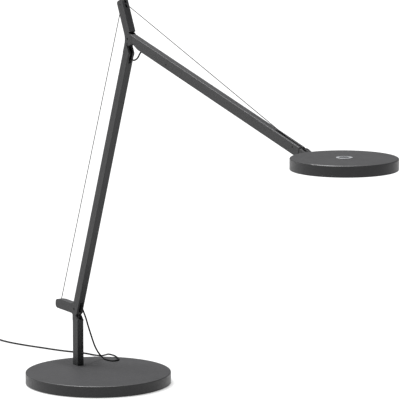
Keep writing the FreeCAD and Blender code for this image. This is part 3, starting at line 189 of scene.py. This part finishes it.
def worked_metal(name, dark, light, roughness, grain_mm, stretch=None):
    """Turned, drawn, cast or blasted metal, its tool marks drawn out along one way where it has them."""
    return finish(name, dark, light, roughness, clouds=(5, 4), gloss=(grain_mm, 5, 0.07, 0.1),
                  grain=[(grain_mm, 4, 0.01, 0.5)], soft_edge=0.15, stretch=stretch, metallic=1.0)


ROPE_LAY = 8.0               # one turn of the strands
ROPE_STRANDS = 6


def steel_rope():
    """Fine laid steel rope drawn through a thin black jacket: its strands still show as slanted ridges."""
    material, tree, shader = plain("jacketed_steel_rope", "#0c0c0d", 0.7, specular=0.2)
    uv = add(tree, "ShaderNodeUVMap", {}, uv_map="lay")
    apart = add(tree, "ShaderNodeSeparateXYZ", {"Vector": uv.outputs["UV"]})
    turns = add(tree, "ShaderNodeMath", {0: apart.outputs["X"], 1: 1 / ROPE_LAY}, operation="MULTIPLY")
    angle = add(tree, "ShaderNodeMath", {0: turns.outputs[0], 1: apart.outputs["Y"]}, operation="ADD")
    strands = add(tree, "ShaderNodeMath", {0: angle.outputs[0], 1: ROPE_STRANDS * 2 * pi},
                  operation="MULTIPLY")
    ridges = add(tree, "ShaderNodeMath", {0: strands.outputs[0]}, operation="SINE")
    bump = add(tree, "ShaderNodeBump", {"Height": ridges.outputs[0], "Strength": 0.8, "Distance": 0.04 * MM})
    tree.links.new(bump.outputs["Normal"], shader["Normal"])
    return material


def opal_sheet():
    """Cast opal acrylic: milky, with light that spreads inside it and a faintly satin face."""
    material = finish("opal_acrylic_sheet", "#e9e8e2", "#e9e8e2", 0.32, gloss=(8, 3, 0.04, 0.06),
                      grain=[(0.12, 2, 0.006, 0.5)])
    shader = material.node_tree.nodes["Principled BSDF"].inputs
    shader["Subsurface Weight"].default_value = 0.5
    shader["Subsurface Radius"].default_value = (2.0 * MM, 2.0 * MM, 1.8 * MM)
    return material


def circuit_board():
    """White solder mask screened over copper: pale, with the edges of the copper showing faintly."""
    material, tree, shader = plain("solder_mask_white", "#e6e7e2", 0.35)
    here = add(tree, "ShaderNodeTexCoord", {}).outputs["Object"]
    cells = add(tree, "ShaderNodeTexVoronoi", {"Vector": here, "Scale": 1 / (4.0 * MM)},
                feature="DISTANCE_TO_EDGE")
    edge = add(tree, "ShaderNodeMapRange",
               {"Value": cells.outputs["Distance"], "From Min": NOISE_LOW, "From Max": NOISE_HIGH,
                "To Min": 0.0, "To Max": 1.0})
    tint = add(tree, "ShaderNodeMix", {"Factor": edge.outputs["Result"]}, data_type="RGBA")
    tint.inputs[MIX_DARK].default_value = srgb("#cfd2c9")
    tint.inputs[MIX_LIGHT].default_value = srgb("#eceee8")
    tree.links.new(tint.outputs[MIX_RESULT], shader["Base Color"])
    bump = add(tree, "ShaderNodeBump",
               {"Height": cells.outputs["Distance"], "Strength": 0.4, "Distance": 0.03 * MM})
    tree.links.new(bump.outputs["Normal"], shader["Normal"])
    return material


LOOKS = {
    # Powder coat on drawn tube and sheet: an even, matte, dark grey.
    "paint": powder_coat("powder_coat_anthracite", "#2c2c2d", "#323233", 0.42),
    # The same coat over a cast piece, and duller; its tone is a touch lighter as painted light, standing in
    # for the light that its faces catch.
    "casting_painted_light": powder_coat("powder_coat_with_painted_light", "#2f2f30", "#363637", 0.46),
    # The same coat on the two wide flat discs: a little smoother, so their tops catch the light.
    "disc": powder_coat("powder_coat_anthracite_disc", "#2c2c2d", "#323233", 0.4),
    # Cast iron as it leaves the sand: coarse, dull and mottled grey.
    "iron": worked_metal("cast_iron_grey", "#3c3c3e", "#58585a", 0.62, 1.2),
    # Turned steel: fine rings across the piece and a satin shine.
    "steel": worked_metal("machined_steel", "#8d8f92", "#a8aaad", 0.32, 0.3, (1, 8, 1)),
    # Chemically blackened steel: nearly black, with a dull metal shine.
    "pin": worked_metal("blackened_steel", "#161617", "#202022", 0.5, 0.3),
    "wire": steel_rope(),
    # Brushed nylon loops: a deep, dull black nap.
    "strap": finish("brushed_nylon_strap", "#0f0f10", "#1f1f21", 0.85, clouds=(0.5, 4),
                    grain=[(0.35, 4, 0.15, 0.9)]),
    # Oil-tempered spring wire: blue-grey and quite shiny.
    "spring": worked_metal("oil_tempered_spring_wire", "#3d3f45", "#5b5e66", 0.3, 0.4),
    # Turned aluminium: pale, with fine tool marks.
    "aluminium": worked_metal("turned_aluminium", "#c3c4c4", "#d6d7d7", 0.34, 0.25, (1, 1, 6)),
    # Aluminium blasted with glass beads and anodised: an even, silky light grey.
    "ring": worked_metal("bead_blasted_anodised_aluminium", "#77787a", "#828385", 0.75, 0.2),
    # Turned brass: warm yellow and bright.
    "brass": worked_metal("turned_brass", "#a98a4e", "#c4a565", 0.3, 0.3),
    # Brass plated with nickel: smooth, warm silver.
    "nickel": worked_metal("nickel_plated_brass", "#b9b7b0", "#d0cec7", 0.2, 0.5),
    # Foamed rubber: dull black.
    "rubber": soft_rubber("epdm_foam_pad", "#161617", "#1d1d1e", 0.7),
    # Extruded cable jacket: black, slightly less dull.
    "jacket": soft_rubber("pvc_cable_jacket_black", "#08080a", "#0e0e10", 0.6),
    # Moulded ABS: black with a satin grain.
    "plastic": moulded_plastic("moulded_abs_black", "#141416", "#1a1a1c", 0.4, 0.35),
    # Moulded acetal: black, waxy and smoother.
    "acetal": moulded_plastic("acetal_natural_black", "#1b1b1d", "#232325", 0.34, 0.2),
    # Moulded polycarbonate of the touch button: dark grey and fine-grained.
    "touch": moulded_plastic("moulded_polycarbonate_grey", "#3a3b3d", "#404143", 0.35, 0.2),
    "opal": opal_sheet(),
    # Silicone filled with phosphor: glossy yellow, a little cloudy.
    "led": finish("led_phosphor_silicone", "#d8b13c", "#f0d25a", 0.25, clouds=(0.8, 2),
                  grain=[(0.3, 2, 0.02, 0.4)]),
    "board": circuit_board(),
}

NODE_LOOKS = {
    "disc": ["base_cover", "head_shell"],
    "paint": ["stem_tube", "lower_arm_tube", "elbow_head", "upper_arm_tube", "head_fork", "head_neck",
              "bezel_ring"],
    # the stem head's coat is painted lighter, as painted light for its lit faces
    "casting_painted_light": ["stem_head"],
    "iron": ["base_weight"],
    "steel": ["base_screws", "swivel_spindle", "swivel_nut", "swivel_washer", "spring_caps"],
    "pin": ["stem_screw", "lower_pivot_pin", "lower_tongue", "elbow_pin", "mast_roller_pin", "upper_tongue",
            "arm_roller_pin", "spring_pin", "head_pin", "neck_screws"],
    "wire": ["back_wire", "front_wire", "spring_wire_link"],
    "spring": ["balance_spring"],
    "aluminium": ["heat_spreader"],
    "ring": ["touch_ring"],
    "brass": ["wire_anchor"],
    "nickel": ["adaptor_prongs"],
    "rubber": ["base_pad", "adaptor_boot"],
    "jacket": ["lower_lead", "upper_lead", "head_lead", "elbow_loop", "head_loop", "power_cord_neck",
               "power_cord_drop", "power_cord_run", "cord_coil", "power_cord_tail"],
    "plastic": ["power_adaptor", "coil_tie"],
    "acetal": ["swivel_bush", "lower_friction_discs", "elbow_friction_discs", "head_friction_discs",
               "mast_roller", "arm_roller"],
    "touch": ["touch_cap"],
    "opal": ["diffuser"],
    "led": ["led_chips"],
    "board": ["led_board", "driver_board"],
}


def dress(obj, look):
    """Give a new piece its material."""
    obj.data.materials.clear()
    obj.data.materials.append(LOOKS[look])


for finish_name, node_names in NODE_LOOKS.items():
    for node_name in node_names:
        for node_slot in frame["nodes"][node_name].material_slots:
            node_slot.material = LOOKS[finish_name]


# ---------------------------------------------------------------- helpers

CURVE_STEPS = 12             # per control point
TUBE_ROUNDNESS = 5


def route_curve(name, points, radius=0.0):
    """Smooth NURBS curve with these control points, with a round section."""
    data = bpy.data.curves.new(name, "CURVE")
    data.dimensions = "3D"
    data.resolution_u = CURVE_STEPS
    data.bevel_depth = radius
    data.bevel_resolution = TUBE_ROUNDNESS
    data.use_fill_caps = True
    spline = data.splines.new("NURBS")
    spline.points.add(len(points) - 1)
    for target, point in zip(spline.points, points):
        target.co = (*point, 1.0)
    spline.order_u = 3
    spline.use_endpoint_u = True
    made = bpy.data.objects.new(name, data)
    scene.collection.objects.link(made)
    return made


def as_mesh(curve):
    """The curve's own mesh as a new object, in place of the curve."""
    name = curve.name
    bpy.context.view_layer.update()
    data = bpy.data.meshes.new_from_object(curve.evaluated_get(bpy.context.evaluated_depsgraph_get()))
    bpy.data.objects.remove(curve)
    made = bpy.data.objects.new(name, data)
    scene.collection.objects.link(made)
    for polygon in data.polygons:
        polygon.use_smooth = True
    return made


def centre_line(points):
    """Points along the smooth line that a route's control points give."""
    line = as_mesh(route_curve("line", points))
    found = [vertex.co.copy() for vertex in line.data.vertices]
    bpy.data.objects.remove(line)
    return found


def cable(name, points, radius):
    """Round jacketed cable along the smooth line of these control points."""
    made = as_mesh(route_curve(name, points, radius))
    made.name = name
    dress(made, "jacket")
    return made


def mesh_object(name, mesh, look):
    """A closed bmesh as a finished piece, with its faces turned outwards."""
    bmesh.ops.recalc_face_normals(mesh, faces=mesh.faces)
    data = bpy.data.meshes.new(name)
    mesh.to_mesh(data)
    mesh.free()
    made = bpy.data.objects.new(name, data)
    scene.collection.objects.link(made)
    dress(made, look)
    return made


# --------------------------------------------------------------- coil tie

COIL_CENTRE = (-372.0, 12.0)
TIE_INSIDE = (7.3, 27.7, 0.8, 7.6)     # inner, outer, low and high, from the coil's middle
TIE_HALF_WIDTH = 3.0
TIE_THICKNESS = 0.8
TIE_CORNER = 1.0
TIE_CORNER_STEPS = 6
TIE_END_THICKNESS = 0.7
TIE_END_NARROWER = 0.2
STRAP_EDGE = 0.3             # bevel of a strap's edges, as a share of its thickness


def ribbon(name, line, half_width, thickness, closed):
    """Flat strap of this thickness whose inner face follows the line, a list of (x, z) in mm."""
    mesh = bmesh.new()
    count = len(line)
    soft = thickness * STRAP_EDGE
    section = [(-half_width + soft, 0), (half_width - soft, 0), (half_width, soft),
               (half_width, thickness - soft), (half_width - soft, thickness),
               (-half_width + soft, thickness), (-half_width, thickness - soft), (-half_width, soft)]
    rings = []
    for i, (x, z) in enumerate(line):
        before = line[i - 1] if closed or i else line[0]
        after = line[(i + 1) % count] if closed or i < count - 1 else line[-1]
        ahead = Vector((after[0] - before[0], 0, after[1] - before[1])).normalized()
        out = Vector((-ahead.z, 0, ahead.x))
        rings.append([mesh.verts.new(mm(COIL_CENTRE[0] + x, COIL_CENTRE[1] + y, z) + out * h * MM)
                      for y, h in section])
    for i in range(count if closed else count - 1):
        here, there = rings[i], rings[(i + 1) % count]
        for k in range(len(section)):
            mesh.faces.new([here[k - 1], here[k], there[k], there[k - 1]])
    if not closed:
        mesh.faces.new(rings[0])
        mesh.faces.new(rings[-1][::-1])
    return mesh_object(name, mesh, "strap")


def coil_strap():
    """Hook-and-loop strap round one side of the coil, with its end pressed down on top."""
    inner, outer, low, high = TIE_INSIDE
    near, far = inner + TIE_CORNER, outer - TIE_CORNER
    under, over = low + TIE_CORNER, high - TIE_CORNER
    line = []
    for cx, cz, turn in ((near, under, 180), (near, over, 90), (far, over, 0), (far, under, -90)):
        for i in range(TIE_CORNER_STEPS + 1):
            angle = radians(turn + 90 - 90 / TIE_CORNER_STEPS * i)
            line.append((cx + TIE_CORNER * cos(angle), cz + TIE_CORNER * sin(angle)))
    strap = ribbon("coil_strap", line, TIE_HALF_WIDTH, TIE_THICKNESS, True)
    top = high + TIE_THICKNESS
    # the loose end comes up at the inner side, lies flat on the strap, and its tip lifts a little
    flap = [(inner + 4, top + 0.02), (inner + 8, top), (outer - 6, top), (outer - 2.5, top),
            (outer - 1.8, top + 0.1)]
    end = ribbon("coil_strap_end", flap, TIE_HALF_WIDTH - TIE_END_NARROWER, TIE_END_THICKNESS, False)
    for piece in (strap, end):
        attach(piece, "base")
    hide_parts("coil_tie")


coil_strap()


# ----------------------------------------------------------------- cables

# Route of the supply cord in millimetres, as in the part's source.
CORD_NECK = [
    (12.08, 0.0, 133.19),
    (9.1, 0.0, 124.9),
    (12.6, 0.8, 115.5),
    (12.3, 3.6, 109.5),
]
CORD_ROUTE = [
    (12.3, 3.6, 109.5),
    (11.9, 7.3, 101.6),
    (5.2, 16.5, 83.5),
    (-4.5, 28.5, 64.0),
    (-14.5, 41.0, 44.0),
    (-18.5, 51.5, 29.0),
    (-11.5, 57.5, 20.6),
    (-3.0, 57.6, 20.55),
    (5.5, 57.7, 20.5),
    (13.0, 63.5, 20.5),
    (8.5, 75.5, 20.5),
    (-5.0, 80.5, 20.5),
    (-20.0, 84.8, 20.9),
    (-43.0, 86.5, 20.0),
    (-69.0, 96.5, 12.5),
    (-96.0, 104.5, 5.2),
    (-122.0, 108.5, 1.6),
    (-150.0, 103.5, 1.4),
    (-187.0, 81.0, 1.4),
    (-226.0, 67.0, 1.4),
    (-264.0, 52.5, 1.4),
    (-303.0, 41.5, 1.4),
    (-335.0, 38.6, 2.0),
]
CORD_TAIL = [
    (-390.0, 37.3, 5.2),
    (-404.0, 30.0, 2.2),
    (-411.0, 15.0, 1.4),
    (-414.5, -2.0, 1.4),
    (-417.0, -19.0, 1.4),
    (-420.0, -35.0, 3.0),
    (-414.0, -46.0, 8.0),
    (-404.0, -46.0, 8.0),
]
# The two short leads: millimetres along and above the arm, and from the head's pivot.
ELBOW_LEAD_LOWER = [(450.5, -7.9), (461.0, -7.9), (466.5, -15.9)]
ELBOW_LEAD_UPPER = [(18.0, -30.5), (28.0, -23.5), (33.0, -11.0), (41.0, -3.9), (56.0, -3.9)]
HEAD_ARCH_ARM = [(479.4, 6.35), (488.4, 6.45), (494.4, 10.35), (503.4, 12.95)]
HEAD_ARCH_HEAD = [(9.1, 8.3), (16.1, 5.7), (23.1, 5.65)]
COIL_ENTRY = [(-355.2, 38.2, 2.5)]
COIL_LEAVES = [(-384.0, 37.9, 5.9)]
COIL_LOOPS = 10
COIL_LAYER_LOOPS = 5
COIL_INNER = 9.0
COIL_STEP = 3.4
COIL_LOW = 2.5
COIL_POINTS = 16             # control points in one loop
COIL_CLIMB = 0.5             # turns taken to rise to the second layer
COIL_TURN_ROUND = 0.02       # rounds the spiral off where it turns back


def coil_point(turn):
    """Spiral in over the first layer, up in half a turn, and out again on top."""
    climb = min(max((turn - COIL_LAYER_LOOPS + COIL_CLIMB / 2) / COIL_CLIMB, 0.0), 1.0)
    climb = climb * climb * (3 - 2 * climb)
    radius = COIL_INNER + COIL_STEP * sqrt((turn - COIL_LAYER_LOOPS) ** 2 + COIL_TURN_ROUND)
    # control points of a spline lie a little outside the line that it draws
    radius /= 1 - (pi / COIL_POINTS) ** 2 / 2
    angle = pi / 2 + 2 * pi * turn
    return (COIL_CENTRE[0] + radius * cos(angle), COIL_CENTRE[1] + radius * sin(angle),
            COIL_LOW + COIL_STEP * climb)


def supply_cord():
    """The supply cord from the lower hinge to the adaptor, and its short neck in the lower arm."""
    coil = [coil_point(i / COIL_POINTS) for i in range(COIL_LOOPS * COIL_POINTS + 1)]
    points = [mm(*p) for p in CORD_ROUTE + COIL_ENTRY + coil + COIL_LEAVES + CORD_TAIL]
    line = centre_line(points)
    cord = cable("supply_cord", points, CORD_RADIUS)
    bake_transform(cord)
    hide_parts("power_cord_drop", "power_cord_run", "cord_coil", "power_cord_tail")
    neck = cable("supply_cord_neck", [mm(*p) for p in CORD_NECK], CORD_RADIUS)
    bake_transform(neck)
    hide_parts("power_cord_neck")


def short_lead(name, points, radius, node):
    """Free loop of a lead across a hinge."""
    line = centre_line(points)
    made = cable(name, points, radius)
    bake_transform(made)
    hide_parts(node)


def elbow_lead():
    """Lead that hangs in a loop under the elbow, from the lower arm to the upper arm."""
    points = [along(LOWER_PIVOT, LOWER_SLOPE, s, n) for s, n in ELBOW_LEAD_LOWER]
    points += [along(ELBOW, UPPER_SLOPE, s, n) for s, n in ELBOW_LEAD_UPPER]
    short_lead("elbow_lead", points, LEAD_RADIUS, "elbow_loop")


def head_arch():
    """Lead that arches over the head's hinge."""
    points = [along(ELBOW, UPPER_SLOPE, s, n) for s, n in HEAD_ARCH_ARM]
    points += [HEAD_PIVOT + mm(x, 0, z) for x, z in HEAD_ARCH_HEAD]
    short_lead("head_arch", points, HEAD_LEAD_RADIUS, "head_loop")


supply_cord()
elbow_lead()
head_arch()


# ------------------------------------------------------------ tension wire

ROPE_SIDES = 12
WIRE_IN_ANCHOR = 3.0         # first part of the wire, hidden in its anchor
WRAP_STEPS = 14              # round the mast roller


def rope(name, line):
    """Round wire through these points, with its own length and turn as UV."""
    mesh = bmesh.new()
    uv = mesh.loops.layers.uv.new("lay")
    rings, run = [], [0.0]
    for i, point in enumerate(line):
        ahead = (line[min(i + 1, len(line) - 1)] - line[max(i - 1, 0)]).normalized()
        side = Vector((0, 1, 0))
        up = side.cross(ahead)
        angles = [2 * pi * k / ROPE_SIDES for k in range(ROPE_SIDES)]
        rings.append([mesh.verts.new(point + (side * cos(a) + up * sin(a)) * WIRE_RADIUS) for a in angles])
        if i:
            run.append(run[-1] + (point - line[i - 1]).length / MM)
    for i in range(len(rings) - 1):
        for k in range(ROPE_SIDES):
            corners = [(i, k), (i + 1, k), (i + 1, k + 1), (i, k + 1)]
            face = mesh.faces.new([rings[a][b % ROPE_SIDES] for a, b in corners])
            face.smooth = True
            for loop, (a, b) in zip(face.loops, corners):
                loop[uv].uv = (run[a], b / ROPE_SIDES)
    mesh.faces.new(rings[0])
    mesh.faces.new(rings[-1][::-1])
    return mesh_object(name, mesh, "wire")


def touch_point(centre, radius, far, side):
    """Where a line from far touches a roller's groove."""
    gap = far - centre
    turn = atan2(gap.z, gap.x) + side * acos(radius / gap.length)
    return centre + Vector((cos(turn), 0, sin(turn))) * radius


def tension_wire():
    """The wire's two free stretches: lever to mast roller, and over that roller to the upper arm."""
    leaves = touch_point(MAST_ROLLER, MAST_GROOVE, ANCHOR, -1)
    start = ANCHOR + (leaves - ANCHOR).normalized() * WIRE_IN_ANCHOR * MM
    back = rope("tension_wire_back", [start, leaves])
    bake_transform(back)
    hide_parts("back_wire")

    line = ARM_ROLLER - MAST_ROLLER
    slope = atan2(line.z, line.x) - asin((ARM_GROOVE - MAST_GROOVE) / line.length)
    up = Vector((-sin(slope), 0, cos(slope)))
    first, last = MAST_ROLLER + up * MAST_GROOVE, ARM_ROLLER + up * ARM_GROOVE
    begins, ends = [atan2((p - MAST_ROLLER).z, (p - MAST_ROLLER).x) % (2 * pi) for p in (leaves, first)]
    wrap = [MAST_ROLLER + Vector((cos(a), 0, sin(a))) * MAST_GROOVE for a in
            (begins + (ends - begins) * i / WRAP_STEPS for i in range(WRAP_STEPS + 1))]
    front = rope("tension_wire_front", wrap + [last])
    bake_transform(front)
    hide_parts("front_wire")


tension_wire()


# ------------------------------------------------------------ stage, light

FLOOR_HALF_WIDTH = 30.0      # metres
FLOOR_DROP = 0.2 * MM        # under the base pad
FLOOR_GLOW = 0.5             # lightens the shadows on the floor

SUN_STRENGTH = 11.0
SUN_SPREAD = 40.0            # degrees, so its shadows are soft
SUN_WAY = Vector((0.2, 0.1, -1.0))
SIDE_BOX_PLACE = Vector((-2.6, -1.9, 1.3))
SIDE_BOX_AIM = Vector((0.25, 0, 0.3))
SIDE_BOX_SIZE = 2.0
SIDE_BOX_POWER = 7.0
SURROUND_STRENGTH = 0.08


def stage_floor():
    """White studio floor: matte, with no gloss."""
    floor = bpy.data.objects.new("floor", bpy.data.meshes.new("floor"))
    scene.collection.objects.link(floor)
    grid = bmesh.new()
    bmesh.ops.create_grid(grid, x_segments=1, y_segments=1, size=FLOOR_HALF_WIDTH)
    grid.to_mesh(floor.data)
    grid.free()
    material, _, shader = plain("white_studio_floor", "#7c7c7c", 0.95, specular=0.0)
    shader["Emission Color"].default_value = (1, 1, 1, 1)
    shader["Emission Strength"].default_value = FLOOR_GLOW
    floor.data.materials.append(material)
    floor.location.z = -FLOOR_DROP


def side_light():
    """One soft box, low on the side that the camera sees."""
    data = bpy.data.lights.new("side_soft_box", "AREA")
    data.shape = "RECTANGLE"
    data.size = SIDE_BOX_SIZE
    data.size_y = SIDE_BOX_SIZE
    data.energy = SIDE_BOX_POWER
    lamp = bpy.data.objects.new("side_soft_box", data)
    scene.collection.objects.link(lamp)
    lamp.location = SIDE_BOX_PLACE
    lamp.rotation_euler = (SIDE_BOX_AIM - SIDE_BOX_PLACE).to_track_quat("-Z", "Y").to_euler()


def overhead_light():
    """Wide, even light from a ceiling of soft boxes."""
    data = bpy.data.lights.new("ceiling_soft_boxes", "SUN")
    data.energy = SUN_STRENGTH
    data.angle = radians(SUN_SPREAD)
    lamp = bpy.data.objects.new("ceiling_soft_boxes", data)
    scene.collection.objects.link(lamp)
    lamp.rotation_euler = SUN_WAY.to_track_quat("-Z", "Y").to_euler()


def surroundings():
    """Plain white surroundings, weak enough to leave the light to the lamps."""
    scene.view_settings.view_transform = "Standard"
    world = bpy.data.worlds.new("studio")
    scene.world = world
    world.use_nodes = True
    world.node_tree.nodes["Background"].inputs["Color"].default_value = (1, 1, 1, 1)
    world.node_tree.nodes["Background"].inputs["Strength"].default_value = SURROUND_STRENGTH


# The photograph's viewing angle, and the framing that puts the lamp where it stands there.
CAMERA_AZIMUTH = 56.339      # degrees
CAMERA_ELEVATION = 9.062
CAMERA_DISTANCE = 5.1537
CAMERA_AIM = Vector((0.36566, 0.0, 0.34364))
CAMERA_LENS = 297.54
CAMERA_RISE = 0.0023
SENSOR_WIDTH = 36.0
CAMERA_REACH = 100.0         # metres


def camera():
    data = bpy.data.cameras.new("camera")
    data.lens = CAMERA_LENS
    data.sensor_width = SENSOR_WIDTH
    data.shift_y = CAMERA_RISE
    data.clip_end = CAMERA_REACH
    made = bpy.data.objects.new("camera", data)
    scene.collection.objects.link(made)
    azimuth, elevation = radians(CAMERA_AZIMUTH), radians(CAMERA_ELEVATION)
    away = Vector((sin(azimuth) * cos(elevation), -cos(azimuth) * cos(elevation), sin(elevation)))
    made.location = CAMERA_AIM + away * CAMERA_DISTANCE
    made.rotation_euler = (-away).to_track_quat("-Z", "Y").to_euler()
    scene.camera = made


stage_floor()
surroundings()
overhead_light()
side_light()
camera()
